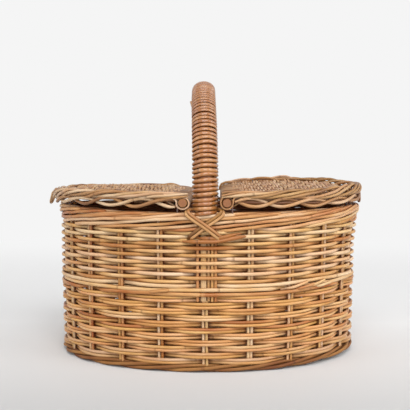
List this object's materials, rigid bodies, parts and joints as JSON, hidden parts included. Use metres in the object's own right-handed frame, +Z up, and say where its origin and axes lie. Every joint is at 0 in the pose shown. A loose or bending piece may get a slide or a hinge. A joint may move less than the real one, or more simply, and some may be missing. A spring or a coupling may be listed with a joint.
{
  "type": "cane picnic basket",
  "caption": "Oval woven cane picnic basket with a fixed lapped arch handle and two half lids that hinge on rods beside the handle",
  "frame": {"origin": "centre of the foot, on the floor the basket stands on", "axes": "+Z up, X along the basket's long side with the right lid at +X, the handle's arch across Y, the pictured side at -Y"},
  "size_m": [0.4226, 0.2984, 0.3548],
  "materials": {
    "stake_cane": "natural peeled cane, satin",
    "weave_cane": "natural peeled cane, satin",
    "rim_cane": "natural peeled cane, satin",
    "base_cane": "natural peeled cane, dull",
    "lapping_cane": "orange-brown flat cane, satin",
    "handle_pole": "natural rattan pole",
    "hinge_rod": "reddish rattan rod",
    "lashing_cane": "natural flat cane",
    "bow_cane": "dark brown cane with skin on",
    "lid_cane": "greyer natural cane, dull"
  },
  "bodies": {
    "basket": {"back_lashing_bow": "bow_cane", "back_lashing_over": "lashing_cane", "back_lashing_under": "lashing_cane", "base_mat": "base_cane", "foot_border": "rim_cane", "front_lashing_bow": "bow_cane", "front_lashing_over": "lashing_cane", "front_lashing_under": "lashing_cane", "handle_lapping_back": "lapping_cane", "handle_lapping_front": "lapping_cane", "handle_lapping_grip": "lapping_cane", "handle_pole": "handle_pole", "handle_side_rod_left": "handle_pole", "handle_side_rod_right": "handle_pole", "left_hinge_rod": "hinge_rod", "left_rod_tie_back": "lashing_cane", "left_rod_tie_front": "lashing_cane", "lower_weaver_a": "weave_cane", "lower_weaver_b": "weave_cane", "mid_wale_inner": "weave_cane", "mid_wale_outer": "weave_cane", "right_hinge_rod": "hinge_rod", "right_rod_tie_back": "lashing_cane", "right_rod_tie_front": "lashing_cane", "rim_border": "rim_cane", "rim_wale_inner": "rim_cane", "rim_wale_outer": "rim_cane", "stake_01": "stake_cane", "stake_02": "stake_cane", "stake_03": "stake_cane", "stake_04": "stake_cane", "stake_05": "stake_cane", "stake_06": "stake_cane", "stake_07": "stake_cane", "stake_08": "stake_cane", "stake_09": "stake_cane", "stake_10": "stake_cane", "stake_11": "stake_cane", "stake_12": "stake_cane", "stake_13": "stake_cane", "stake_14": "stake_cane", "stake_15": "stake_cane", "stake_16": "stake_cane", "stake_17": "stake_cane", "stake_18": "stake_cane", "stake_19": "stake_cane", "stake_20": "stake_cane", "stake_21": "stake_cane", "stake_22": "stake_cane", "upper_weaver_a": "weave_cane", "upper_weaver_b": "weave_cane"},
    "left_lid": {"left_lid_edge_twist": "lid_cane", "left_lid_frame": "lid_cane", "left_lid_pull": "lid_cane", "left_lid_weave": "lid_cane"},
    "right_lid": {"right_lid_edge_twist": "lid_cane", "right_lid_frame": "lid_cane", "right_lid_pull": "lid_cane", "right_lid_weave": "lid_cane"}
  },
  "joints": [
    {"name": "left_lid_hinge", "type": "hinge", "parent": "basket", "child": "left_lid", "pos_m": [-0.0255, 0, 0.1997], "axis": [0, 1, 0], "range_deg": [0, 75]},
    {"name": "right_lid_hinge", "type": "hinge", "parent": "basket", "child": "right_lid", "pos_m": [0.0255, 0, 0.1997], "axis": [0, -1, 0], "range_deg": [0, 75]}
  ]
}
